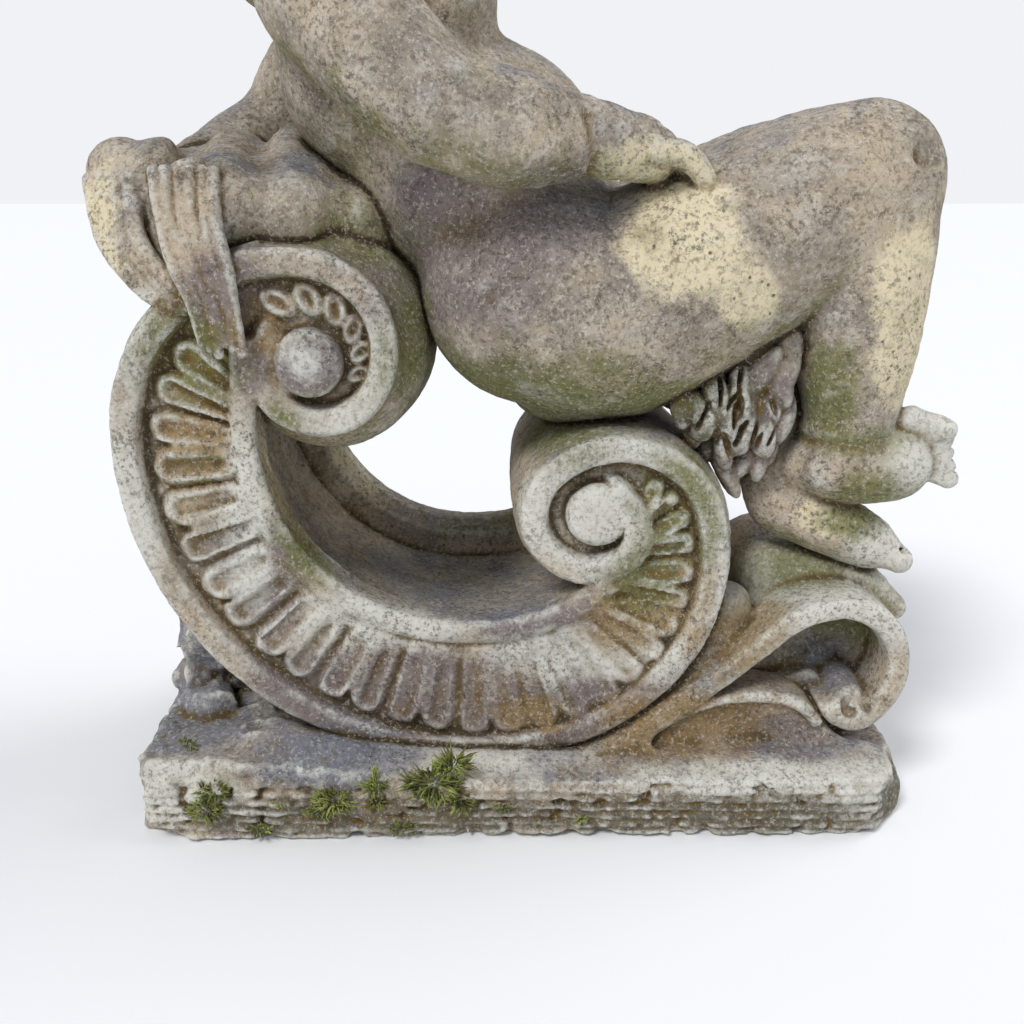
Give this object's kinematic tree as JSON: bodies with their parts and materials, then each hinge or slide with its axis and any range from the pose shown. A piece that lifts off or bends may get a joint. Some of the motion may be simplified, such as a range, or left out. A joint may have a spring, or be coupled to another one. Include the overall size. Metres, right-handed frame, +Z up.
{
  "type": "stone putto statue",
  "caption": "Weathered limestone putto seated on a carved C-scroll with volutes and tongue moulding, with drapery and a curled leaf, cut in one block with a low plinth.",
  "frame": {"origin": "middle of the plinth's underside", "axes": "+X along the scroll towards the putto's feet, +Y away from the carved front, +Z up"},
  "size_m": [0.8168, 0.4192, 1.1291],
  "materials": {
    "limestone": "weathered matte"
  },
  "bodies": {
    "root": {"putto_statue": "limestone"}
  },
  "joints": []
}
